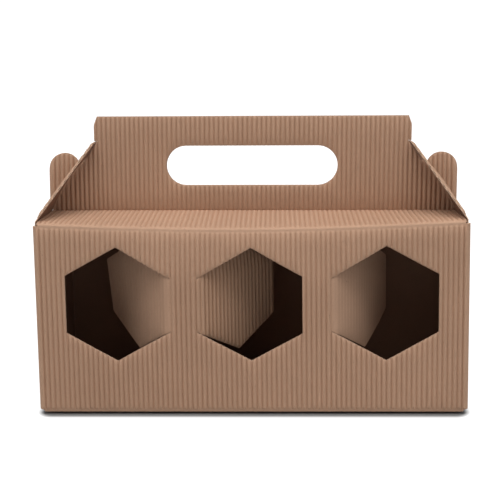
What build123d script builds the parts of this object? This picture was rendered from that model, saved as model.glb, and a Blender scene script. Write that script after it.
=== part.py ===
from build123d import *

import os
from math import cos, radians, sin

# A carry carton for three jars, die-cut from one sheet of open-flute board and folded up.
# The smooth liner is inside, the flutes are outside and run up the walls, over the lid and up the handle.
# Millimetres. The front faces -Y, +Z is up, and the origin is the middle of the base.

# The set-up box, over the flute crests
box_length = 260.0
box_depth = 88.0
box_height = 118.0
corner_radius = 2.4

# The board: a corrugated face on a flat liner, as thick in its valleys as where a fold crushes it
crushed_thickness = 0.5
board_thickness = 1.6
flute_pitch = 3.0
flute_flank = 0.95

# Folds across the flutes, where the corrugation is crushed flat
fold_radius = 0.6

# Windows in the front wall, regular hexagons that stand on a point. The middles of the outer two
# are this far from the ends of the box.
window_radius = 35.5
window_end_margin = 49.0
window_centre_height = 68.0

# Flaps cut from the windows: the side they are hinged on (-1 left, 1 right) and how far they are folded in
window_flaps = {
    "window_flap_left": (-1, 1, 46.0),
    "window_flap_middle": (0, -1, 45.0),
    "window_flap_right": (1, -1, 47.0),
}
window_web = 1.2

# Lid panels and the double handle, heights above the lid
lid_side_gap = 0.6
handle_gap = 0.3
handle_half_width = 100.6
handle_height = 59.8
handle_corner_width = 1.8
handle_corner_height = 5.0
hand_hole_length = 109.0
hand_hole_height = 25.4
hand_hole_centre = 28.3

# Ears at the ends of the handle, and the slanted notch beside each that holds a gusset
ear_inset = 0.4
ear_width = 19.3
ear_height = 36.7
notch_floor = 31.4
notch_ceiling = 44.8
notch_clearance = 0.5

# Gusset flaps on the side walls
gusset_reach = 51.8
gusset_tip_width = 13.0
gusset_angle = 56.6
gusset_base_inset = 2.6
gusset_bridge = 12.2
gusset_web = 1.8

# Snap-lock bottom: how far each flap reaches from its crease
front_flap_reach = 43.0
front_flap_relief = 7.0
tongue_width = 80.0
tongue_reach = 15.0
side_flap_reach = 38.0
side_flap_inset = 11.0
side_flap_taper = 14.0
back_flap_reach = 54.0
tongue_side_gap = 1.2
flap_end_inset = 0.6
ramp_run = 4.5

# Fits
running_clearance = 0.3
ear_clearance = 0.35

# Worked out from the sizes above
half_length = box_length / 2
half_depth = box_depth / 2
window_pitch = half_length - window_end_margin
crest_width = flute_pitch - 2 * flute_flank
fold_size = board_thickness + fold_radius
layer_step = board_thickness + running_clearance
bead_radius = crushed_thickness / 2
side_liner = half_length - board_thickness
front_liner = half_depth - board_thickness
lid_width = 2 * (side_liner - lid_side_gap)
crease_half_length = half_length - corner_radius - flap_end_inset
crease_half_depth = half_depth - corner_radius - flap_end_inset


def flute_count(run):
    """Whole flutes that fit between the corners or cut edges of a run."""
    return int((run - 2 * (corner_radius + flute_flank)) / flute_pitch)


def flute_points(flutes):
    """The corrugated face, as (across, height over the liner's inner face), centred on zero."""
    points = []
    first_valley = -flutes * flute_pitch / 2
    for number in range(flutes):
        valley = first_valley + number * flute_pitch
        points.append((valley, crushed_thickness))
        points.append((valley + flute_flank, board_thickness))
        points.append((valley + flute_flank + crest_width, board_thickness))
    points.append((-first_valley, crushed_thickness))
    return points


def board(width, run, flutes):
    """A flat board, liner down on z = 0, flutes along +Y from y = 0."""
    edge = flutes * flute_pitch / 2 + flute_flank
    outline = [(-width / 2, 0), (-width / 2, board_thickness), (-edge, board_thickness)]
    outline += flute_points(flutes)
    outline += [(edge, board_thickness), (width / 2, board_thickness), (width / 2, 0)]
    section = make_face(Polyline([(x, 0, z) for x, z in outline], close=True))
    return extrude(section, amount=run, dir=(0, 1, 0))


def slab(outline, bottom, top):
    """A flat outline in XY as a plate from one height to another."""
    return extrude(Pos(0, 0, bottom) * outline, amount=top - bottom, dir=(0, 0, 1))


def wall_ring(bottom, top):
    """The four walls as one section: flutes outside, smooth liner inside, rounded corners."""
    lines = []
    for turn in range(4):
        along, offset = (half_length, half_depth) if turn % 2 == 0 else (half_depth, half_length)
        flutes = flute_count(2 * along)
        edge = flutes * flute_pitch / 2 + flute_flank
        side = [(corner_radius - along, board_thickness), (-edge, board_thickness)]
        side += flute_points(flutes)
        side += [(edge, board_thickness), (along - corner_radius, board_thickness)]
        points = [(x, board_thickness - offset - height) for x, height in side]
        middle = corner_radius * (1 - cos(radians(45)))
        arc = ThreePointArc(points[-1], (along - middle, middle - offset), (along, corner_radius - offset))
        lines.append(Rot(0, 0, 90 * turn) * Polyline(points))
        lines.append(Rot(0, 0, 90 * turn) * arc)
    inner_radius = corner_radius - board_thickness
    hollow = RectangleRounded(2 * side_liner, 2 * front_liner, inner_radius)
    return slab(make_face(Curve() + lines) - hollow, bottom, top)


def drawn_along_x(section, width):
    """A section in YZ, given as a sketch in XY, drawn out along X to both sides of the middle."""
    upright = Plane(origin=(0, 0, 0), x_dir=(0, 1, 0), z_dir=(1, 0, 0))
    return extrude(upright * section, amount=width / 2, both=True)


def fold(width):
    """A crushed quarter turn along X, from a board below z = 0 to one that runs to +Y.
    The liners of the two boards lie at y = 0 and at z = fold_radius."""
    outer_radius = fold_radius + crushed_thickness
    bend = Circle(outer_radius) - Circle(fold_radius)
    bend &= Pos(-outer_radius / 2, outer_radius / 2) * Rectangle(outer_radius, outer_radius)
    return drawn_along_x(Pos(fold_radius, 0) * bend, width)


def notch_edge(level):
    """How far out the handle reaches at a level, beside the gusset that leans in over it."""
    lean = radians(gusset_angle)
    beside = bead_radius + notch_clearance
    reach = (level + beside * cos(lean)) / sin(lean)
    return side_liner + bead_radius - reach * cos(lean) - beside * sin(lean)


def handle_outline():
    """One handle half in XY: y is the height over the lid, with ears, notches and the hand hole."""
    outline = Pos(0, -board_thickness / 2) * Rectangle(lid_width, board_thickness)
    ear_centre = half_length - ear_inset - ear_width / 2
    for side in (-1, 1):
        body = Polyline(
            (0, 0),
            (side * ear_centre, 0),
            (side * ear_centre, notch_floor),
            (side * notch_edge(notch_floor), notch_floor),
            (side * notch_edge(notch_ceiling), notch_ceiling),
            (side * handle_half_width, notch_ceiling),
            (side * handle_half_width, handle_height - handle_corner_height),
            (side * (handle_half_width - handle_corner_width), handle_height),
            (0, handle_height),
            close=True,
        )
        stem_height = ear_height - ear_width / 2
        ear = Pos(0, stem_height) * Circle(ear_width / 2)
        ear += Pos(0, stem_height / 2) * Rectangle(ear_width, stem_height)
        outline = outline + make_face(body) + Pos(side * ear_centre, 0) * ear
    hole = Pos(0, hand_hole_centre) * SlotOverall(hand_hole_length, hand_hole_height)
    return outline - hole


def lid_half():
    """Front half of the lid: crease on the front wall, lid panel and, over a mitred fold, a handle half."""
    flutes = flute_count(box_length)
    crease = Pos(0, -front_liner, box_height - fold_size) * fold(2 * crease_half_length)
    lid_underside = box_height - board_thickness
    panel_start = fold_size - half_depth
    handle_liner = -handle_gap / 2
    handle_face = handle_liner - board_thickness

    panel = board(lid_width, handle_liner - panel_start, flutes)
    panel = Pos(0, panel_start, lid_underside) * panel
    panel_side = Polyline(
        (panel_start, lid_underside),
        (handle_liner, lid_underside),
        (handle_face, box_height),
        (panel_start, box_height),
        close=True,
    )
    panel &= drawn_along_x(make_face(panel_side), box_length)

    ear_span = 2 * (half_length - ear_inset)
    handle = Pos(0, -board_thickness, 0) * board(ear_span, handle_height + board_thickness, flutes)
    handle &= slab(handle_outline(), 0, board_thickness)
    stand = Plane(origin=(0, handle_liner, box_height), x_dir=(1, 0, 0), z_dir=(0, -1, 0))
    handle_side = Polyline(
        (handle_liner, lid_underside),
        (handle_liner, box_height + handle_height),
        (handle_face, box_height + handle_height),
        (handle_face, box_height),
        close=True,
    )
    handle = stand.location * handle & drawn_along_x(make_face(handle_side), box_length)
    return crease + panel + handle


def ramp(width, run, rise):
    """A crushed strip that climbs from one bottom layer to the next, its top at z = 0 at y = 0."""
    strip = Polyline((0, 0), (run, rise), (run, rise - crushed_thickness), (0, -crushed_thickness), close=True)
    return drawn_along_x(make_face(strip), width)


def bottom_flap(flat, width, layer, wall_liner):
    """A bottom flap of the wall whose liner is at y = -wall_liner: crease, ramp to its layer, flat board.
    The board is given liner down on z = 0, from y = 0."""
    start = fold_radius - wall_liner
    crease = Pos(0, -wall_liner, fold_size) * mirror(fold(width), about=Plane.XY)
    run = layer * ramp_run
    rise = layer * layer_step
    flap = crease + Pos(0, start + run, board_thickness + rise) * mirror(flat, about=Plane.XY)
    if layer:
        flap += Pos(0, start, board_thickness) * ramp(width, run, rise)
    return flap


def bottom():
    """Snap-lock bottom: front flap below, side flaps over it, back flap on top, tongue through its recess."""
    width = 2 * crease_half_length
    shoulder = width / 2 - front_flap_relief
    front_shape = make_face(
        Polyline(
            (-width / 2, 0),
            (width / 2, 0),
            (shoulder, front_flap_relief),
            (shoulder, front_flap_reach),
            (-shoulder, front_flap_reach),
            (-shoulder, front_flap_relief),
            close=True,
        )
    )
    front_board = board(width, front_flap_reach, flute_count(box_length))
    front_board &= slab(front_shape, 0, board_thickness)
    front = bottom_flap(front_board, width, 0, front_liner)
    tongue_start = fold_radius - front_liner + front_flap_reach
    tongue_end = tongue_start + 3 * ramp_run
    tongue_rise = 3 * layer_step
    front += Pos(0, tongue_start, board_thickness) * ramp(tongue_width, 3 * ramp_run, tongue_rise)
    tongue = Pos(0, tongue_end + tongue_reach / 2, tongue_rise + board_thickness / 2)
    front += tongue * Box(tongue_width, tongue_reach, board_thickness)

    side_width = 2 * (half_depth - side_flap_inset)
    side_shape = make_face(
        Polyline(
            (-side_width / 2, 0),
            (side_width / 2, 0),
            (side_width / 2 - side_flap_taper, side_flap_reach),
            (side_flap_taper - side_width / 2, side_flap_reach),
            close=True,
        )
    )
    side = bottom_flap(slab(side_shape, 0, board_thickness), side_width, 1, side_liner)

    back_reach = back_flap_reach - 2 * ramp_run
    back_shape = Pos(0, back_reach / 2) * Rectangle(width, back_reach)
    recess_depth = tongue_end + back_flap_reach + fold_radius - front_liner
    recess = Rectangle(tongue_width + 2 * tongue_side_gap, recess_depth)
    back_shape -= Pos(0, back_reach - recess_depth / 2) * recess
    back = bottom_flap(slab(back_shape, 0, board_thickness), width, 2, front_liner)
    return front + Rot(0, 0, 90) * side + Rot(0, 0, -90) * side + Rot(0, 0, 180) * back


def hexagon(radius):
    return RegularPolygon(radius, 6, rotation=30)


def window_place(column):
    """The middle of a window on the outer face of the front wall, facing out."""
    middle = (column * window_pitch, -half_depth, window_centre_height)
    return Plane(origin=middle, x_dir=(1, 0, 0), z_dir=(0, -1, 0)).location


def hinge_rim():
    """Crushed top edge of a side wall under its gusset, on the right-hand wall."""
    bottom_edge = box_height - fold_size
    top_edge = box_height - bead_radius - running_clearance
    rim = Box(crushed_thickness, 2 * crease_half_depth, top_edge - bottom_edge)
    return Pos(side_liner + crushed_thickness / 2, 0, (bottom_edge + top_edge) / 2) * rim


def carton():
    walls = wall_ring(fold_size, box_height - fold_size)
    for column in (-1, 0, 1):
        cutter = extrude(hexagon(window_radius), amount=board_thickness * 2, both=True)
        walls -= window_place(column) * cutter
    front_lid = lid_half()
    rim = hinge_rim()
    body = walls + front_lid + mirror(front_lid, about=Plane.XZ)
    body = body + rim + mirror(rim, about=Plane.YZ) + bottom()
    return body


def window_flap(column, hinge_side, fold_angle):
    """A window's flap: the same hexagon less its clearance, hinged on one upright side, folded in."""
    flutes = flute_count(box_length)
    face = Plane(origin=(0, -front_liner, 0), x_dir=(1, 0, 0), z_dir=(0, -1, 0)).location
    wall = face * board(box_length, box_height, flutes)
    side_offset = window_radius * cos(radians(30))
    pivot_x = column * window_pitch + hinge_side * (side_offset - running_clearance - bead_radius)
    pivot_y = -front_liner - bead_radius
    inset_radius = window_radius - running_clearance / cos(radians(30))
    cutter = window_place(column) * extrude(hexagon(inset_radius), amount=board_thickness * 2, both=True)

    web_edge = pivot_x - hinge_side * window_web
    keep = Box(box_length, box_depth, 2 * box_height)
    plate = wall & cutter & Pos(web_edge - hinge_side * box_length / 2, -half_depth, 0) * keep
    hinge_height = window_radius - 2 * running_clearance
    web = Box(window_web, crushed_thickness, hinge_height)
    web = Pos(pivot_x - hinge_side * window_web / 2, pivot_y, window_centre_height) * web
    bead = Pos(pivot_x, pivot_y, window_centre_height) * Cylinder(bead_radius, hinge_height)
    flap = plate + web + bead
    axis = Axis((pivot_x, pivot_y, 0), (0, 0, -hinge_side))
    return flap.rotate(axis, fold_angle)


def gusset():
    """Right-hand gusset flap, leaning in with its bridge hooked in the notch beside the ear."""
    base_width = 2 * (half_depth - gusset_base_inset)
    outline = make_face(
        Polyline(
            (-base_width / 2, 0),
            (base_width / 2, 0),
            (gusset_tip_width / 2, gusset_reach),
            (-gusset_tip_width / 2, gusset_reach),
            close=True,
        )
    )
    slit_width = handle_gap + 2 * board_thickness + 2 * ear_clearance
    slit_length = gusset_reach - gusset_bridge
    slit = Pos(0, slit_length / 2) * Rectangle(slit_width, slit_length)
    shape = outline - slit

    web_zone = Pos(0, gusset_web / 2) * Rectangle(base_width, gusset_web)
    plate = board(box_depth, gusset_reach, flute_count(box_depth)) & slab(shape - web_zone, 0, board_thickness)
    web = slab(shape & web_zone, 0, crushed_thickness)
    flap = plate + web
    bead = Rot(0, 90, 0) * Cylinder(bead_radius, base_width)
    bead = Pos(0, 0, bead_radius) * bead
    bead -= Box(slit_width, 4 * bead_radius, 6 * bead_radius)
    flap = Pos(0, 0, -bead_radius) * (flap + bead)

    lean = radians(gusset_angle)
    outward = (sin(lean), 0, cos(lean))
    pivot = (side_liner + bead_radius, 0, box_height)
    place = Plane(origin=pivot, x_dir=(0, 1, 0), z_dir=outward)
    return place.location * flap


os.makedirs("parts", exist_ok=True)
export_step(carton(), "parts/carton.step")
right_gusset = gusset()
export_step(right_gusset, "parts/gusset_right.step")
export_step(mirror(right_gusset, about=Plane.YZ), "parts/gusset_left.step")
for name, (column, hinge_side, fold_angle) in window_flaps.items():
    export_step(window_flap(column, hinge_side, fold_angle), f"parts/{name}.step")
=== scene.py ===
import math

import bpy
import numpy as np
from mathutils import Matrix, Vector


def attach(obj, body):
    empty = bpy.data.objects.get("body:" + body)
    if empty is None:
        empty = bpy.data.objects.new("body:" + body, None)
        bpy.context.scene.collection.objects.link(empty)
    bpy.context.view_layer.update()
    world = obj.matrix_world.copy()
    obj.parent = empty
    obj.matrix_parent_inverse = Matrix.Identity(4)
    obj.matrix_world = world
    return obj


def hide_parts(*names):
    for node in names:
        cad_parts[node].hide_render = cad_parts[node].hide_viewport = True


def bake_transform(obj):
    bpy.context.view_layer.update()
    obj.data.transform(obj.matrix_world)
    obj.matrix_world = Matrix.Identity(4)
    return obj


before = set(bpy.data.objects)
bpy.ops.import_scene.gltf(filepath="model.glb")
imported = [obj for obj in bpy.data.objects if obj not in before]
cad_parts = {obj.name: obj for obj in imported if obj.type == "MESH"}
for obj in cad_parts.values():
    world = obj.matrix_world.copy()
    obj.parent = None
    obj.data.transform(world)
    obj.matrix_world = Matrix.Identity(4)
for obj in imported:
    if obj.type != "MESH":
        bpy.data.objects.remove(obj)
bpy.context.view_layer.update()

# Lengths are millimetres, as in the CAD source, until a mesh is made in metres.
MM = 0.001

# The box and its board, as in the CAD source
half_length = 130.0
half_depth = 44.0
box_height = 118.0
corner_radius = 2.4
board_thickness = 1.6
flute_pitch = 3.0
flute_flank = 0.95
flutes_along = 84
flutes_across = 27
fold_radius = 0.6
fold_size = board_thickness + fold_radius
side_liner = half_length - board_thickness
front_liner = half_depth - board_thickness
wall_half_length = half_length - corner_radius
wall_half_depth = half_depth - corner_radius
crease_half_length = 127.0
crease_half_depth = 41.0
side_top = 116.6
# How high over the liner a hinge's axis lies, in the middle of the crushed board
hinge_height = 0.25

# The two papers of the board
liner_paper = 0.28
flute_paper = 0.22
flat_height = liner_paper + flute_paper
flute_steps = 8
flute_unevenness = 0.04
glue_depth = 0.02
# The cutting die pinches the flutes along a cut edge: the share of their height left, and how far in
pinch_share = 0.4
pinch_run = 1.6
# Folds crush the flutes: the share of their height left, and how far from the fold they are whole again
crease_share = 0.10
lid_fade = 2.2
side_fade = 2.6
ramp_share = 0.04
ramp_fade = 2.0
handle_fold_share = 0.35
handle_fade = 1.1
fade_steps = (0.25, 0.5, 0.75, 1.0)
# How deep the crease down a corner's middle is
corner_crease = 0.45

# Windows and their flaps
window_radius = 35.5
window_pitch = 81.0
window_height = 68.0
window_side = window_radius * math.cos(math.radians(30))
flap_clearance = 0.3
pivot_inset = 0.55
pivot_depth = front_liner + hinge_height
hinge_strip = 2.2
hinge_bend = 2.5
# name: column, hinge side, fold angle, twist over the hinge's half height, curl to the far edge,
# share of the flutes' height left, shade in the valleys
window_flaps = {
    "window_flap_left": (-1, 1, 46.0, 1.8, 0.0, 0.32, 0.3),
    "window_flap_middle": (0, -1, 45.0, 0.0, 0.0, 1.0, 1.0),
    "window_flap_right": (1, -1, 47.0, 0.0, 16.0, 0.14, 0.3),
}

# Lid and double handle with its ears and notches, heights over the lid
lid_half_width = 127.8
handle_liner = 0.15
handle_fold = 1.0
handle_half_width = 100.6
handle_height = 59.8
handle_corner_width = 1.8
handle_corner_height = 5.0
hand_hole_length = 109.0
hand_hole_height = 25.4
hand_hole_centre = 28.3
ear_inset = 0.4
ear_width = 19.3
ear_height = 36.7
notch_floor = 31.4
notch_floor_x = 107.05
notch_ceiling = 44.2
notch_ceiling_x = 98.6

# Gusset flaps on the side walls
gusset_reach = 51.8
gusset_rise = 43.0
gusset_lean = 90 - 56.6
gusset_bend = 3.0
gusset_root_half_width = 41.4
gusset_tip_half_width = 6.5
gusset_bridge = 12.2
gusset_slit_half_width = 2.1
# How far a gusset bows outwards between its slanted edges, and the share of its height where that ends
gusset_bow = 2.0
bow_top = 0.75

# Snap-lock bottom: how far each flap reaches from its crease, and the ramps from layer to layer
layer_step = 1.9
ramp_run = 4.5
ramp_arc = 0.6
front_flap_reach = 43.0
front_flap_half_width = 120.0
front_flap_relief = 7.0
tongue_half_width = 40.0
tongue_reach = 15.0
side_flap_reach = 38.0
side_flap_half_width = 33.0
side_flap_tip_half_width = 19.0
back_flap_reach = 54.0
recess_half_width = 41.2
recess_depth = 26.9

# How far the front has given way in the middle, by height up the wall
sag_heights = [32.0, 50.0, 86.0, 103.0, 110.0, 115.8]
sag_drops = [0.0, 1.2, 1.7, 2.2, 3.4, 4.9]
lean_heights = [84.0, 92.0, 103.0, 110.0, 115.8]
lean_depths = [0.0, 0.8, 2.6, 4.0, 5.2]
# How far the front's bottom crease has settled, how far up the wall that is felt, and how far from the
# crease the flutes have their full height again
crease_settle = 0.9
settle_run = 14.0
crease_run = 1.8

# How far the handle's right end has dropped, and how far its top has leaned to the right
handle_drop = 1.4
handle_shift = 0.8


def smooth(value, low, high):
    """0 below low, 1 above high, smooth between."""
    share = np.clip((value - low) / (high - low), 0.0, 1.0)
    return share * share * (3 - 2 * share)


class Path:
    """The line of a board's inner face in its own plane, as (length, turn in degrees) from its free end.
    It passes the anchor at v = 0, heading up, with the fluted face on its left."""

    def __init__(self, before, after, anchor):
        runs = before + after
        total = sum(length for length, turn in before)
        heading = math.radians(90 - sum(turn for length, turn in before))
        point = np.zeros(2)
        self.runs = []
        at = -total
        for length, turn in runs:
            if abs(at) < 1e-9:
                shift = np.array(anchor) - point
            curve = math.radians(turn) / length
            self.runs.append((at, point.copy(), heading, curve))
            point = point + self._step(heading, curve, np.array([length]))[0]
            heading += math.radians(turn)
            at += length
        self.runs = [(start, where + shift, turned, curve) for start, where, turned, curve in self.runs]
        self.low = -total
        self.high = at

    @staticmethod
    def _step(heading, curve, length):
        if abs(curve) < 1e-9:
            return np.stack([length * math.cos(heading), length * math.sin(heading)], axis=1)
        turned = heading + curve * length
        ends = [np.sin(turned) - math.sin(heading), math.cos(heading) - np.cos(turned)]
        return np.stack(ends, axis=1) / curve

    def at(self, v, height):
        """Points at v along the line, height off it."""
        result = np.zeros((len(v), 2))
        starts = [run[0] for run in self.runs]
        which = np.clip(np.searchsorted(starts, v, side="right") - 1, 0, len(starts) - 1)
        for number, (start, where, heading, curve) in enumerate(self.runs):
            mine = which == number
            if not mine.any():
                continue
            length = v[mine] - start
            turned = heading + curve * length
            normal = np.stack([-np.sin(turned), np.cos(turned)], axis=1)
            result[mine] = where + self._step(heading, curve, length) + height[mine, None] * normal
        return result


def ramp_runs(layers):
    """Runs of a crushed ramp from a bottom layer down to the crease, and its length along the floor."""
    angle = math.atan2(layer_step, ramp_run)
    rise = layers * layer_step - 2 * ramp_arc / angle * (1 - math.cos(angle))
    slope = rise / math.sin(angle)
    turn = math.degrees(angle)
    reach = 2 * ramp_arc / angle * math.sin(angle) + slope * math.cos(angle)
    return [(ramp_arc, turn), (slope, 0.0), (ramp_arc, -turn)], reach


def edges_of(loops):
    """The outlines' edges, each from left to right, without the upright ones."""
    edges = []
    for loop in loops:
        for (u0, v0), (u1, v1) in zip(loop, loop[1:] + loop[:1]):
            u0, u1 = round(u0, 4), round(u1, 4)
            if u0 != u1:
                edges.append((u0, v0, u1, v1) if u0 < u1 else (u1, v1, u0, v0))
    return edges


def edge_height(edge, u):
    u0, v0, u1, v1 = edge
    return v0 + (v1 - v0) * (u - u0) / (u1 - u0)


def columns_of(loops, low, high, step):
    """Where the columns of points stand: at every corner, and on a grid between them."""
    corners = {round(u, 4) for loop in loops for u, v in loop}
    grid = {round(low + k * step, 4) for k in range(int((high - low) / step + 1.5))}
    grid = {u for u in grid if min(abs(u - c) for c in corners) > 0.04}
    least, most = min(corners), max(corners)
    return sorted(u for u in corners | grid if least <= u <= most)


def spans_between(left, right, edges):
    """What lies inside the outlines between two columns: for each span its (low, high) at both columns."""
    middle = (left + right) / 2
    crossing = sorted((edge_height(e, middle), e) for e in edges if e[0] < middle < e[2])
    pairs = zip(crossing[::2], crossing[1::2])
    return [[(edge_height(lo, u), edge_height(hi, u)) for u in (left, right)] for (_, lo), (_, hi) in pairs]


def heights_in(spans, levels):
    """Heights of a column's points: the ends of its spans, two steps beside each end, and the levels."""
    heights = {round(v, 4) for span in spans for v in span}
    beside = [v for lo, hi in spans for s in (0.5, 1.0) for v in (lo + pinch_run * s, hi - pinch_run * s)]
    for level in levels + beside:
        inside = any(lo + 0.03 < level < hi - 0.03 for lo, hi in spans)
        if inside and min(abs(level - v) for v in heights) > 0.03:
            heights.add(round(level, 4))
    return sorted(heights)


def stitch(left, right):
    """Triangles between two columns, each a list of (height, point number) from the bottom up."""
    triangles = []
    i = j = 0
    while i < len(left) - 1 or j < len(right) - 1:
        first, second = left[i][1], right[j][1]
        if j == len(right) - 1 or (i < len(left) - 1 and left[i + 1][0] <= right[j + 1][0]):
            i += 1
            triangles.append((first, second, left[i][1]))
        else:
            j += 1
            triangles.append((first, second, right[j][1]))
    return triangles


def cut(loops, low, high, step, levels):
    """Cuts flat outlines with holes into strips between columns. Returns the points (u, v),
    the triangles, anticlockwise, and how far each point is from a cut edge along its column."""
    columns = columns_of(loops, low, high, step)
    edges = edges_of(loops)
    bays = [spans_between(left, right, edges) for left, right in zip(columns, columns[1:])]
    points, inset, chains = [], [], []
    for number, u in enumerate(columns):
        spans = [bay[1] for bay in bays[number - 1]] if number else []
        spans += [bay[0] for bay in bays[number]] if number < len(bays) else []
        chain = []
        for v in heights_in(spans, levels):
            chain.append((v, len(points)))
            points.append((u, v))
            inset.append(min(min(v - lo, hi - v) for lo, hi in spans if lo - 0.001 <= v <= hi + 0.001))
        chains.append(chain)

    triangles = []
    for number, bay in enumerate(bays):
        for (a0, b0), (a1, b1) in bay:
            left = [point for point in chains[number] if a0 - 1e-4 <= point[0] <= b0 + 1e-4]
            right = [point for point in chains[number + 1] if a1 - 1e-4 <= point[0] <= b1 + 1e-4]
            triangles += stitch(left, right)
    return np.array(points), np.array(triangles), np.array(inset)


class Mesh:
    """Closed shells gathered into one mesh. Face kinds: 0 fluted paper, 1 liner paper, 2 cut edge."""

    def __init__(self):
        self.points, self.ridges, self.faces, self.kinds, self.count = [], [], [], [], 0

    def shell(self, flat, triangles, outer, inner, kinds, ridge=None):
        """A sheet between two surfaces over the same flat triangles, closed by rims.
        The painted shade factor is 1 on crests and plain paper and less down in the valleys, where it
        darkens the colour as painted shade."""
        base, size = self.count, len(flat)
        self.points += [outer, inner]
        self.ridges += [np.ones(size) if ridge is None else ridge, np.ones(size)]
        self.count += 2 * size
        top = triangles + base
        under = triangles[:, ::-1] + base + size
        sides = [edge for a, b, c in triangles.tolist() for edge in ((a, b), (b, c), (c, a))]
        known = set(sides)
        rims = [(a, b) for a, b in sides if (b, a) not in known]
        self.faces += top.tolist() + under.tolist()
        self.faces += [(b + base, a + base, a + base + size, b + base + size) for a, b in rims]
        self.kinds += [kinds[0]] * len(top) + [kinds[1]] * len(under) + [2] * len(rims)

    def piece(self, name, materials):
        data = bpy.data.meshes.new(name)
        data.from_pydata((np.concatenate(self.points) * MM).tolist(), [], self.faces)
        for material in materials:
            data.materials.append(material)
        data.polygons.foreach_set("material_index", self.kinds)
        data.polygons.foreach_set("use_smooth", [True] * len(data.polygons))
        # The painted shade factor goes to the papers, which darken their colour with it as painted shade.
        ridges = data.attributes.new("ridge", "FLOAT", "POINT")
        ridges.data.foreach_set("value", np.concatenate(self.ridges))
        data.update()
        data.set_sharp_from_angle(angle=math.radians(55))
        made = bpy.data.objects.new(name, data)
        bpy.context.scene.collection.objects.link(made)
        return made


class Board:
    """Single-face board: a flat liner and a fluted paper glued on it, over one flat outline."""

    def __init__(self, flutes, crush, place, height_share=1.0, shade=0.3):
        self.half = flutes * flute_pitch / 2
        self.crush, self.place, self.share, self.shade = crush, place, height_share, shade

    def wave(self, u):
        """Height of the fluted paper across the flutes, 0 in a valley and 1 on a crest."""
        turn = 2 * math.pi * (u + self.half) / flute_pitch
        number = np.floor((u + self.half) / flute_pitch)
        drift = np.sin(number * 12.9898) * np.cos(number * 4.1414)
        uneven = 1 - flute_unevenness * (1 - drift)
        inside = uneven * np.abs(np.sin(turn / 2)) ** 1.1
        outside = smooth(np.abs(u), self.half, self.half + flute_flank)
        return np.where(np.abs(u) < self.half, inside, outside)

    def add(self, mesh, loops, levels):
        low = min(u for loop in loops for u, v in loop)
        start = -self.half + math.floor((low + self.half) / flute_pitch) * flute_pitch
        high = max(u for loop in loops for u, v in loop)
        flat, triangles, inset = cut(loops, start, high, flute_pitch / flute_steps, levels)
        u, v = flat[:, 0], flat[:, 1]
        pinch = pinch_share + (1 - pinch_share) * smooth(inset, 0.0, pinch_run)
        height_left = self.share * self.crush(u, v) * pinch
        rise = (board_thickness - flat_height) * height_left * self.wave(u)
        outer = self.place(u, v, flat_height + rise)
        inner = self.place(u, v, liner_paper - glue_depth + rise)
        # Painted shade: how deep a point lies in a valley, which darkens its colour there as shade.
        painted_valley_shade = (1 - self.wave(u) ** 0.6) * height_left
        mesh.shell(flat, triangles, outer, inner, (0, 1), 1 - self.shade * painted_valley_shade)
        flat, triangles, _ = cut(loops, start, high, 2 * flute_pitch, levels)
        u, v = flat[:, 0], flat[:, 1]
        outer = self.place(u, v, np.full(len(u), liner_paper))
        inner = self.place(u, v, np.zeros(len(u)))
        mesh.shell(flat, triangles, outer, inner, (1, 1))


def arc(centre, radius, start, end, steps):
    """Points of an arc, angles in degrees."""
    angles = np.radians(np.linspace(start, end, steps + 1))
    return [(centre[0] + radius * math.cos(a), centre[1] + radius * math.sin(a)) for a in angles]


def spread(low, high, count):
    return np.linspace(low, high, count + 1).tolist()


def both_sides(right):
    """A closed loop from its right half, given from the bottom up."""
    return right + [(-u, v) for u, v in reversed(right)]


def wander(u):
    """Small unevenness in the spacing of the flutes."""
    return 0.10 * np.sin(u / 17.0 + 0.6) + 0.06 * np.sin(u / 6.1 + 1.9) + 0.03 * np.sin(u / 2.7)


def give(x):
    """How much of the sag there is along the front, 1 in the middle and 0 at the corners."""
    return np.cos(np.clip(np.abs(x) / crease_half_length, 0, 1) * math.pi / 2)


def wall_warp(x, z):
    """How the front wall has given way: (backwards, upwards)."""
    back = give(x) * np.interp(z, lean_heights, lean_depths)
    drop = give(x) * np.interp(z, sag_heights, sag_drops)
    return back, -drop


def handle_warp(points, share):
    """Lets points of the handle follow its drop and its lean, by their share of the drop."""
    x, y, z = points.T
    drop = handle_drop * np.clip((x + handle_half_width) / (2 * handle_half_width), 0, 1.15)
    over = np.maximum(z - box_height, 0) / handle_height
    x = np.clip(x + handle_shift * over, -half_length, half_length)
    return np.stack([x, y, z - drop * share], axis=1)


wall_run = box_height - 2 * fold_size
quarter = fold_radius * math.pi / 2
lid_run = front_liner - fold_radius - handle_liner - handle_fold
handle_arc = handle_fold * math.pi / 2
handle_start = box_height - board_thickness + handle_fold
handle_top = box_height + handle_height
lid_low = wall_run + quarter
lid_high = lid_low + lid_run
handle_low = lid_high + handle_arc
lid_line = handle_low + box_height - handle_start

tongue_ramp, tongue_run = ramp_runs(3)
tongue_flat = tongue_reach + 3 * ramp_run - tongue_run
front_before = [(tongue_flat, 0.0)] + tongue_ramp + [(front_flap_reach, 0.0), (quarter, -90.0)]
handle_flat = handle_top - handle_start
upper = [(wall_run, 0.0), (quarter, -90.0), (lid_run, 0.0), (handle_arc, 90.0), (handle_flat, 0.0)]
front_path = Path(front_before, upper, (-front_liner, fold_size))
back_ramp, back_run = ramp_runs(2)
back_flat = back_flap_reach - back_run
back_path = Path([(back_flat, 0.0)] + back_ramp + [(quarter, -90.0)], upper, (-front_liner, fold_size))
side_ramp, side_run = ramp_runs(1)
side_flat = side_flap_reach + ramp_run - side_run
side_before = [(side_flat, 0.0)] + side_ramp + [(quarter, -90.0)]
side_path = Path(side_before, [(side_top - fold_size, 0.0)], (-side_liner, fold_size))


def crushed_between(v, low, high, least, run):
    """Share of the flutes' height near a fold: least between low and high, all of it a run away."""
    away = np.maximum(low - v, v - high)
    return least + (1 - least) * smooth(away, 0.0, run)


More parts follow.
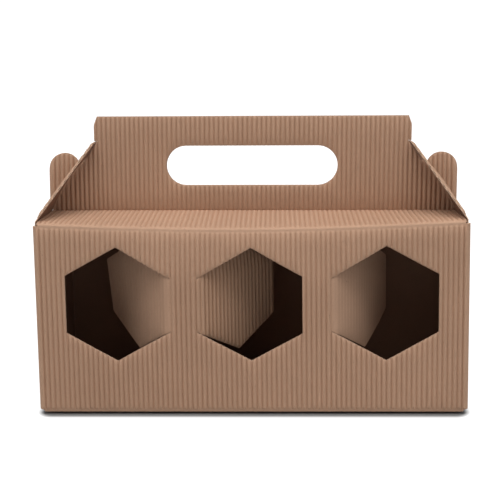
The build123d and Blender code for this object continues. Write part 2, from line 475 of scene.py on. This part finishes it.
def column_crush(ramp_low, ramp_high):
    """The share of flute height along the front or back column, with its ramp's ends."""

    def crush(u, v):
        share = crushed_between(v, ramp_low, ramp_high, ramp_share, ramp_fade)
        share = np.minimum(share, crushed_between(v, -quarter - 0.2, 0.2, crease_share, crease_run))
        share = np.minimum(share, crushed_between(v, wall_run - 0.5, lid_low + 0.5, crease_share, lid_fade))
        return np.minimum(share, crushed_between(v, lid_high, handle_low, handle_fold_share, handle_fade))

    return crush


def turned(quarters):
    """Puts points of a column drawn as the front's in their place, turned about the vertical axis."""
    angle = math.radians(90 * quarters)
    c, s = math.cos(angle), math.sin(angle)
    return lambda x, y, z: np.stack([c * x - s * y, s * x + c * y, z], axis=1)


def lid_share(v):
    """How far over the lid a level is, 0 at the crease and 1 from the handle's fold on."""
    return np.clip((v - lid_low) / lid_run, 0, 1)


def front_place(u, v, height):
    where = front_path.at(v, height)
    x = u + wander(u)
    y, z = where[:, 0], where[:, 1]
    back, up = wall_warp(x, fold_size + v)
    on_lid = v > wall_run
    share = np.clip((lid_high - v) / lid_run, 0, 1)
    back = np.where(on_lid, give(x) * lean_depths[-1] * share, back)
    up = np.where(on_lid, -give(x) * sag_drops[-1] * share**1.2, up)
    along_bottom = smooth(-v - quarter - 0.2, 0.0, crease_run)
    up = up - crease_settle * (1 - np.maximum(smooth(v, 0.0, settle_run), along_bottom))
    return handle_warp(np.stack([x, y + back, z + up], axis=1), lid_share(v))


def back_place(u, v, height):
    where = back_path.at(v, height)
    return handle_warp(turned(2)(u + wander(u + 40.0), where[:, 0], where[:, 1]), lid_share(v))


def handle_outline():
    """Right half of the handle's edge, from the lid up, in (u, height over the lid)."""
    ear_radius, ear_end = ear_width / 2, half_length - ear_inset
    ear = (ear_end - ear_radius, ear_height - ear_radius)
    meet = math.degrees(math.asin((notch_floor - ear[1]) / ear_radius))
    edge = [(lid_half_width, 0.0), (ear_end, 0.0)]
    edge += arc(ear, ear_radius, 0, 180 - meet, 22)
    edge += [(notch_floor_x, notch_floor), (notch_ceiling_x, notch_ceiling)]
    edge += [(handle_half_width, notch_ceiling), (handle_half_width, handle_height - handle_corner_height)]
    edge += [(handle_half_width - handle_corner_width, handle_height)]
    return edge


def column_loop(bottom_edge):
    """The outline of the front or back column, from the right half of its bottom flap."""
    right = bottom_edge + [(crease_half_length, -quarter), (crease_half_length, 0.0)]
    right += [(wall_half_length, 0.0), (wall_half_length, wall_run)]
    right += [(crease_half_length, wall_run), (crease_half_length, lid_low), (lid_half_width, lid_low)]
    right += [(u, lid_line + height) for u, height in handle_outline()]
    return both_sides(right)


def hand_hole():
    radius = hand_hole_height / 2
    middle = (hand_hole_length / 2 - radius, lid_line + hand_hole_centre)
    return both_sides(arc(middle, radius, -90, 90, 20))


def window_loop(column, hinge_side):
    """A window in the front wall, with the short strip beside it that its flap's bend takes up."""
    x, v = column * window_pitch, window_height - fold_size
    side, half = hinge_side * window_side, window_radius / 2
    strip, root = hinge_side * (window_side + hinge_strip), half - hinge_strip * math.tan(math.radians(30))
    return [
        (x, v + window_radius), (x + strip, v + root), (x + strip, v - root),
        (x, v - window_radius), (x - side, v - half), (x - side, v + half),
    ]


def fold_levels(low, high, run):
    """Levels through a fold and the flutes that rise out of it."""
    return spread(low, high, 5) + [v for s in fade_steps for v in (low - run * s, high + run * s)]


upper_levels = (
    fold_levels(-quarter, 0.0, side_fade) + spread(12, 82, 7) + [88.0, 94.0, 100.0, 105.0]
    + fold_levels(wall_run, lid_low, lid_fade) + spread(lid_low + 6, lid_high - 5, 4)
    + fold_levels(lid_high, handle_low, handle_fade) + spread(handle_low + 12, front_path.high, 4)
)


def ramp_levels(low, high, bends):
    bent_levels = spread(low, low + bends, 3) + spread(high - bends, high, 3)
    return bent_levels + [low - 1, low - 2, high + 1, high + 2]


def build_front(materials):
    mesh = Mesh()
    ramp_low = front_path.low + tongue_flat
    ramp_high = ramp_low + sum(length for length, turn in tongue_ramp)
    board = Board(flutes_along, column_crush(ramp_low, ramp_high), front_place)
    edge = [(tongue_half_width, front_path.low), (tongue_half_width, ramp_high)]
    edge += [(front_flap_half_width, ramp_high), (front_flap_half_width, -quarter - front_flap_relief)]
    loops = [column_loop(edge), hand_hole()]
    loops += [window_loop(column, side) for column, side, *rest in window_flaps.values()]
    board.add(mesh, loops, upper_levels + ramp_levels(ramp_low, ramp_high, ramp_arc) + [ramp_high + 20.0])
    return mesh.piece("carton_front", materials)


def build_back(materials):
    mesh = Mesh()
    ramp_low, ramp_high = back_path.low + back_flat, -quarter
    board = Board(flutes_along, column_crush(ramp_low, ramp_high), back_place)
    edge = [(recess_half_width, back_path.low + recess_depth), (recess_half_width, back_path.low)]
    edge += [(crease_half_length, back_path.low)]
    levels = upper_levels + ramp_levels(ramp_low, ramp_high, ramp_arc)
    board.add(mesh, [column_loop(edge), hand_hole()], levels)
    return mesh.piece("carton_back", materials)


def add_corner(mesh, turn, end):
    """The rounded corner beside a side wall, at its one end (-1) or the other (1)."""
    width = math.pi / 2 * (corner_radius - board_thickness / 2)

    def place(u, v, height):
        angle = end * math.pi / 2 * u / width
        reach = corner_radius - board_thickness + height
        x = end * wall_half_depth + reach * np.sin(angle)
        y = -wall_half_length - reach * np.cos(angle)
        return turn(x, y, fold_size + v)

    loop = [(0.0, 0.0), (width, 0.0), (width, wall_run), (0.0, wall_run)]
    flat, triangles, _ = cut([loop], 0.0, width, width / 8, spread(0, wall_run, 6))
    if end < 0:
        triangles = triangles[:, ::-1]
    crease = np.sin(np.pi * flat[:, 0] / width) ** 2
    outer = place(flat[:, 0], flat[:, 1], board_thickness - corner_crease * crease)
    inner = place(flat[:, 0], flat[:, 1], np.zeros(len(flat)))
    mesh.shell(flat, triangles, outer, inner, (0, 1))


def build_side(side, materials):
    """A side wall with its bottom flap and the two corners beside it."""
    mesh = Mesh()
    turn = turned(side)
    ramp_low, ramp_high = side_path.low + side_flat, -quarter
    top = side_top - fold_size

    def crush(u, v):
        share = crushed_between(v, ramp_low, ramp_high, ramp_share, ramp_fade)
        share = np.minimum(share, crushed_between(v, -quarter - 0.2, 0.2, crease_share, side_fade))
        return np.minimum(share, crushed_between(v, top, side_top, crease_share, lid_fade))

    def place(u, v, height):
        where = side_path.at(v, height)
        return turn(u + wander(u + 90.0 * side), where[:, 0], where[:, 1])

    right = [(side_flap_tip_half_width, side_path.low), (side_flap_half_width, ramp_low)]
    right += [(side_flap_half_width, 0.0), (wall_half_depth, 0.0)]
    right += [(wall_half_depth, wall_run), (crease_half_depth, wall_run), (crease_half_depth, top)]
    levels = ramp_levels(ramp_low, ramp_high, ramp_arc) + fold_levels(-quarter, 0.0, side_fade)
    levels += spread(8, wall_run - 6, 5) + [top - lid_fade * s for s in fade_steps]
    Board(flutes_across, crush, place).add(mesh, [both_sides(right)], levels)
    for end in (-1, 1):
        add_corner(mesh, turn, end)
    return mesh.piece("carton_side_right" if side > 0 else "carton_side_left", materials)


# Gussets, drawn as the right-hand side's column
lean_tangent = math.tan(math.radians(gusset_lean / 2))
hinge_rise = hinge_height * lean_tangent
gusset_tangent = gusset_bend * lean_tangent
gusset_arc = gusset_bend * math.radians(gusset_lean)
gusset_start = box_height - hinge_rise - gusset_tangent - side_top
gusset_flat = gusset_reach - gusset_tangent + hinge_rise
gusset_runs = [(gusset_start, 0.0), (gusset_arc, -gusset_lean), (gusset_flat, 0.0)]
gusset_path = Path([], gusset_runs, (-side_liner, side_top))
gusset_pivot = gusset_start + gusset_arc / 2


def build_gusset(side, materials):
    mesh = Mesh()
    turn = turned(side)

    def crush(u, v):
        return crushed_between(v, -1.0, gusset_pivot + 1.5, crease_share, lid_fade)

    def place(u, v, height):
        climb = np.clip((v - gusset_pivot) / gusset_reach, 0, 1)
        half_width = gusset_root_half_width + (gusset_tip_half_width - gusset_root_half_width) * climb
        bulge = gusset_bow * (1 - (u / half_width) ** 2) * np.sin(np.pi * np.clip(climb / bow_top, 0, 1))
        where = gusset_path.at(v, height + bulge)
        points = turn(u + wander(u + 90.0 * side), where[:, 0], where[:, 1])
        return handle_warp(points, np.clip((points[:, 2] - box_height) / gusset_rise, 0, 1))

    slit, slit_low = gusset_slit_half_width, gusset_pivot - 0.5
    slit_high = gusset_pivot + gusset_reach - gusset_bridge
    right = [(crease_half_depth, 0.0), (crease_half_depth, gusset_pivot - 0.4)]
    right += [(gusset_root_half_width, gusset_pivot), (gusset_tip_half_width, gusset_path.high)]
    hole = [(-slit, slit_low), (slit, slit_low), (slit, slit_high), (-slit, slit_high)]
    levels = spread(gusset_start, gusset_start + gusset_arc, 5)
    levels += [gusset_pivot + 1.5 + lid_fade * s for s in (0, *fade_steps)] + spread(10, 45, 5)
    Board(flutes_across, crush, place).add(mesh, [both_sides(right), hole], levels)
    name = "gusset_right" if side > 0 else "gusset_left"
    piece = mesh.piece(name + "_board", materials)
    bend = np.array([gusset_start, gusset_start + gusset_arc])
    return piece, name, place(np.zeros(2), bend, np.full(2, hinge_height)) * MM


def bent(along, out, angle, curl):
    """A flap's soft bend and its curl, seen from the hinge: (past the axis, behind it)."""
    radius = hinge_bend / np.tan(angle / 2)
    turned_by = angle * np.clip((along + hinge_bend) / (2 * hinge_bend), 0, 1)
    past = np.maximum(along - hinge_bend, 0)
    before = np.minimum(along + hinge_bend, 0)
    curve = math.radians(curl + 0.01) / (2 * window_side)
    heading = turned_by + curve * past
    across = hinge_bend - radius * np.sin(turned_by) - (np.sin(heading) - np.sin(turned_by)) / curve
    behind = radius - radius * np.cos(turned_by) + (np.cos(turned_by) - np.cos(heading)) / curve
    return across - out * np.sin(heading) - before, behind - out * np.cos(heading)


def flap_loop(x_middle, hinge):
    """A window flap's outline, smaller than its window by the clearance, with the strip that bends."""
    v = window_height - fold_size
    radius = window_radius - flap_clearance / math.cos(math.radians(30))
    side, half = hinge * radius * math.cos(math.radians(30)), radius / 2
    strip = x_middle + hinge * (window_side + hinge_strip)
    root = radius - (window_side + hinge_strip) * math.tan(math.radians(30))
    return [
        (x_middle, v + radius), (strip, v + root), (strip, v - root), (x_middle, v - radius),
        (x_middle - side, v - half), (x_middle - side, v + half),
    ]


def build_flap(name, materials):
    column, hinge, fold, twist, curl, share, shade = window_flaps[name]
    x_middle = column * window_pitch
    x_pivot = x_middle + hinge * (window_side - pivot_inset)
    mesh = Mesh()

    def crush(u, v):
        along = -hinge * (u - x_pivot)
        return 1 - 0.35 * (1 - smooth(np.abs(along), 1.0, 4.0))

    def place(u, v, height):
        back, up = wall_warp(u, fold_size + v)
        z = fold_size + v + up
        along = -hinge * (u + wander(u) - x_pivot)
        lower = np.clip((window_height - z) / (window_radius / 2), -1, 1)
        angle = np.radians(fold + twist * lower * smooth(along, 0, 25))
        across, behind = bent(along, front_liner + height - back - pivot_depth, angle, curl)
        return np.stack([x_pivot + hinge * across, behind - pivot_depth, z], axis=1)

    v = window_height - fold_size
    board = Board(flutes_along, crush, place, share, shade)
    board.add(mesh, [flap_loop(x_middle, hinge)], spread(v - 32, v + 32, 12))
    piece = mesh.piece(name + "_board", materials)
    bend = np.array([x_pivot + hinge * hinge_bend, x_pivot - hinge * hinge_bend])
    return piece, place(bend, np.full(2, v), np.full(2, hinge_height)) * MM


# Papers: light tone, dark tone, specks, roughness, painted shade colour down in the valleys of the flutes
paper_looks = {
    "kraft_flutes": ((0.53, 0.33, 0.222), (0.46, 0.282, 0.188), (0.20, 0.11, 0.07), 0.85, (0.68, 0.6, 0.5)),
    "kraft_liner": ((0.33, 0.19, 0.125), (0.28, 0.16, 0.105), (0.13, 0.07, 0.045), 0.9, (1.0, 1.0, 1.0)),
    "kraft_cut_edge": ((0.66, 0.46, 0.33), (0.56, 0.37, 0.25), (0.25, 0.14, 0.09), 0.9, (1.0, 1.0, 1.0)),
}
fibre_share = 0.3
specular = 0.25


def node(tree, kind, **inputs):
    made = tree.nodes.new(kind)
    for key, value in inputs.items():
        made.inputs[key.replace("_", " ")].default_value = value
    return made


def math_node(tree, operation, first, second=None):
    made = tree.nodes.new("ShaderNodeMath")
    made.operation = operation
    for socket, value in zip(made.inputs, (first, second)):
        if isinstance(value, (int, float)):
            socket.default_value = value
        elif value is not None:
            tree.links.new(value, socket)
    return made.outputs[0]


def mix_node(tree, share, first, second):
    """A mix of two colours. Each value is a socket, a colour or, for the share, a number."""
    made = tree.nodes.new("ShaderNodeMix")
    made.data_type = "RGBA"
    for name, value in (("Factor", share), ("A", first), ("B", second)):
        socket = next(s for s in made.inputs if s.name == name and s.enabled)
        if isinstance(value, tuple):
            socket.default_value = (*value, 1)
        elif isinstance(value, float):
            socket.default_value = value
        else:
            tree.links.new(value, socket)
    return next(s for s in made.outputs if s.enabled)


def seen_directly(tree):
    """1 for camera, glossy and transmission rays, 0 for all others."""
    ray = tree.nodes.new("ShaderNodeLightPath")
    seen = math_node(tree, "MAXIMUM", ray.outputs["Is Camera Ray"], ray.outputs["Is Glossy Ray"])
    return math_node(tree, "MAXIMUM", seen, ray.outputs["Is Transmission Ray"])


def noise(tree, scale, detail, stretch):
    """Noise over a piece's own coordinates."""
    place = tree.nodes.new("ShaderNodeTexCoord")
    mapping = node(tree, "ShaderNodeMapping", Scale=stretch)
    tree.links.new(place.outputs["Object"], mapping.inputs["Vector"])
    made = node(tree, "ShaderNodeTexNoise", Scale=scale, Detail=detail, Roughness=0.6)
    tree.links.new(mapping.outputs["Vector"], made.inputs["Vector"])
    return made.outputs["Fac"]


def ramp(tree, source, low, high):
    made = node(tree, "ShaderNodeMapRange", From_Min=low, From_Max=high)
    tree.links.new(source, made.inputs["Value"])
    return made.outputs["Result"]


def paper_colour(tree, light, dark, speck):
    """A drifting tone with fibres and small specks."""
    drift = mix_node(tree, ramp(tree, noise(tree, 14.0, 3.0, (1, 1, 1)), 0.3, 0.7), dark, light)
    middle = [(a + b) / 2 for a, b in zip(light, dark)]
    shade, bright = tuple(c * 0.9 for c in middle), tuple(c * 1.08 for c in middle)
    fibres = mix_node(tree, ramp(tree, noise(tree, 1100.0, 4.0, (1, 1, 0.7)), 0.35, 0.65), shade, bright)
    specks = ramp(tree, noise(tree, 1500.0, 2.0, (1, 1, 1)), 0.70, 0.76)
    return mix_node(tree, specks, mix_node(tree, fibre_share, drift, fibres), speck)


def kraft(name, light, dark, speck, roughness, painted_valley_shade):
    """Brown paper with a slightly rough surface, with painted shade darkening it down in the valleys of the
    flutes.
    """
    material = bpy.data.materials.new(name)
    material.use_nodes = True
    tree = material.node_tree
    links = tree.links
    shader = tree.nodes["Principled BSDF"]
    shader.inputs["Roughness"].default_value = roughness
    shader.inputs["Specular IOR Level"].default_value = specular
    # Painted shade: the colour is multiplied towards the valley's shade colour where the painted shade
    # factor is low.
    ridge = tree.nodes.new("ShaderNodeAttribute")
    ridge.attribute_name = "ridge"
    shaded = tree.nodes.new("ShaderNodeVectorMath")
    shaded.operation = "MULTIPLY"
    links.new(paper_colour(tree, light, dark, speck), shaded.inputs[0])
    links.new(mix_node(tree, ridge.outputs["Fac"], painted_valley_shade, (1.0, 1.0, 1.0)), shaded.inputs[1])
    links.new(shaded.outputs["Vector"], shader.inputs["Base Color"])
    bump = node(tree, "ShaderNodeBump", Strength=0.25, Distance=0.0001)
    links.new(noise(tree, 1200.0, 5.0, (1, 1, 0.4)), bump.inputs["Height"])
    links.new(bump.outputs["Normal"], shader.inputs["Normal"])
    return material


papers = [kraft(name, *look) for name, look in paper_looks.items()]

for piece in (build_front(papers), build_back(papers), build_side(-1, papers), build_side(1, papers)):
    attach(piece, "carton")
    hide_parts("carton")

for side in (-1, 1):
    piece, body, ends = build_gusset(side, papers)
    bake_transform(piece)
    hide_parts(body)

for body in window_flaps:
    piece, ends = build_flap(body, papers)
    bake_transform(piece)
    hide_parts(body)


# The camera, from a perspective fit to the photograph's outline, whose frame is 500 x 500 pixels.
# The angles are yaw, pitch and roll.
frame_size = 500.0
focal_pixels = 866.8
optical_centre = (250.97, 149.14)
camera_angles = (-1.957, 6.551, 0.799)
camera_place = (18.6, -547.2, 218.8)
sensor_width = 36.0


def add_camera():
    yaw, pitch, roll = (math.radians(a) for a in camera_angles)
    forward = Vector((math.sin(yaw) * math.cos(pitch), math.cos(yaw) * math.cos(pitch), -math.sin(pitch)))
    level = Vector((math.cos(yaw), -math.sin(yaw), 0))
    down = forward.cross(level)
    right = math.cos(roll) * level + math.sin(roll) * down
    up = math.sin(roll) * level - math.cos(roll) * down
    data = bpy.data.cameras.new("camera")
    data.sensor_width = sensor_width
    data.lens = sensor_width * focal_pixels / frame_size
    data.shift_x = (frame_size / 2 - optical_centre[0]) / frame_size
    data.shift_y = (optical_centre[1] - frame_size / 2) / frame_size
    data.clip_start, data.clip_end = 0.01, 100.0
    camera = bpy.data.objects.new("camera", data)
    bpy.context.scene.collection.objects.link(camera)
    rotation = Matrix((right, up, -forward)).transposed().to_4x4()
    camera.matrix_world = Matrix.Translation(Vector(camera_place) * MM) @ rotation
    bpy.context.scene.camera = camera


# Area lights: place in metres, size in metres, watts. All are aimed at one point of the carton.
light_aim = (0, 0, 0.1)
lights = {
    "key": ((0.0, -0.62, 1.98), (2.0, 1.2), 35.0),
    "left": ((-1.3, -0.85, 1.32), (1.2, 1.0), 4.0),
    "right": ((1.3, -0.85, 1.32), (1.2, 1.0), 4.5),
    "back": ((0.0, 1.9, 0.6), (2.0, 0.6), 10.0),
}
# The world as it lights the carton, and as it is seen
world_light = 0.28
world_seen = 1.1


def add_light(name, where, size, power):
    data = bpy.data.lights.new(name, "AREA")
    data.shape = "RECTANGLE"
    data.size, data.size_y = size
    data.energy = power
    made = bpy.data.objects.new(name, data)
    bpy.context.scene.collection.objects.link(made)
    made.location = where
    made.rotation_mode = "QUATERNION"
    made.rotation_quaternion = (Vector(light_aim) - Vector(where)).to_track_quat("-Z", "Y")


def set_world():
    world = bpy.data.worlds.new("studio")
    bpy.context.scene.world = world
    world.use_nodes = True
    tree = world.node_tree
    tree.nodes.clear()
    output = tree.nodes.new("ShaderNodeOutputWorld")
    seen = node(tree, "ShaderNodeBackground", Color=(1, 1, 1, 1), Strength=world_seen)
    lighting = node(tree, "ShaderNodeBackground", Color=(1, 1, 1, 1), Strength=world_light)
    choose = tree.nodes.new("ShaderNodeMixShader")
    tree.links.new(seen_directly(tree), choose.inputs["Fac"])
    tree.links.new(lighting.outputs["Background"], choose.inputs[1])
    tree.links.new(seen.outputs["Background"], choose.inputs[2])
    tree.links.new(choose.outputs["Shader"], output.inputs["Surface"])


# The floor: how far it lies under the base, half its width in metres, and its tone for light and when seen.
# The darker tone when seen is painted shadow beside the carton, where the floor is not lifted to white
floor_gap = 1.3
floor_reach = 12.0
floor_tone = 0.5
floor_seen_tone = 0.2
# Where it keeps the carton's real shadow with a band of painted shadow round it: the ends drawn in, the
# corners rounded, and the run out to white
shadow_inset = 2.0
shadow_rounding = 6.0
shadow_run = 5.5


def past_shadow(tree):
    """0 under the carton and at the rounded edge of the real and painted shadow, 1 where the floor is
    white.
    """
    place = tree.nodes.new("ShaderNodeTexCoord")
    split = tree.nodes.new("ShaderNodeSeparateXYZ")
    tree.links.new(place.outputs["Object"], split.inputs["Vector"])

    def beyond_squared(axis, half):
        away = math_node(tree, "SUBTRACT", math_node(tree, "ABSOLUTE", split.outputs[axis]), half * MM)
        away = math_node(tree, "MAXIMUM", away, 0.0)
        return math_node(tree, "MULTIPLY", away, away)

    across = beyond_squared("X", half_length - shadow_inset - shadow_rounding)
    along = beyond_squared("Y", half_depth - shadow_rounding)
    distance = math_node(tree, "SQRT", math_node(tree, "ADD", across, along))
    lift = node(tree, "ShaderNodeMapRange", From_Max=shadow_run * MM)
    lift.interpolation_type = "SMOOTHSTEP"
    tree.links.new(math_node(tree, "SUBTRACT", distance, shadow_rounding * MM), lift.inputs["Value"])
    return lift.outputs["Result"]


def floor_material():
    """Pale floor, darker when seen. When seen it is lifted to white away from the carton, and beside it
    keeps the real shadow with painted shadow round the footprint.
    """
    material = bpy.data.materials.new("floor_white")
    material.use_nodes = True
    tree = material.node_tree
    tree.nodes.clear()
    links = tree.links
    output = tree.nodes.new("ShaderNodeOutputMaterial")
    diffuse = tree.nodes.new("ShaderNodeBsdfDiffuse")
    glow = node(tree, "ShaderNodeEmission", Color=(1, 1, 1, 1))
    seen = seen_directly(tree)
    # Painted shadow: near the carton the floor is not lifted to white and shows its darker seen tone.
    links.new(math_node(tree, "MULTIPLY", past_shadow(tree), seen), glow.inputs["Strength"])
    tone = node(tree, "ShaderNodeMapRange", To_Min=floor_tone, To_Max=floor_seen_tone)
    links.new(seen, tone.inputs["Value"])
    links.new(tone.outputs["Result"], diffuse.inputs["Color"])
    add = tree.nodes.new("ShaderNodeAddShader")
    links.new(diffuse.outputs[0], add.inputs[0])
    links.new(glow.outputs[0], add.inputs[1])
    links.new(add.outputs[0], output.inputs["Surface"])
    return material


def add_floor():
    data = bpy.data.meshes.new("floor")
    corners = [(x * floor_reach, y * floor_reach, 0) for x, y in ((-1, -1), (1, -1), (1, 1), (-1, 1))]
    data.from_pydata(corners, [], [(0, 1, 2, 3)])
    data.materials.append(floor_material())
    floor = bpy.data.objects.new("floor", data)
    bpy.context.scene.collection.objects.link(floor)
    floor.location.z = -floor_gap * MM
    return floor


add_camera()
for name, light in lights.items():
    add_light(name, *light)
set_world()
add_floor()

bpy.context.scene.view_settings.view_transform = "Standard"
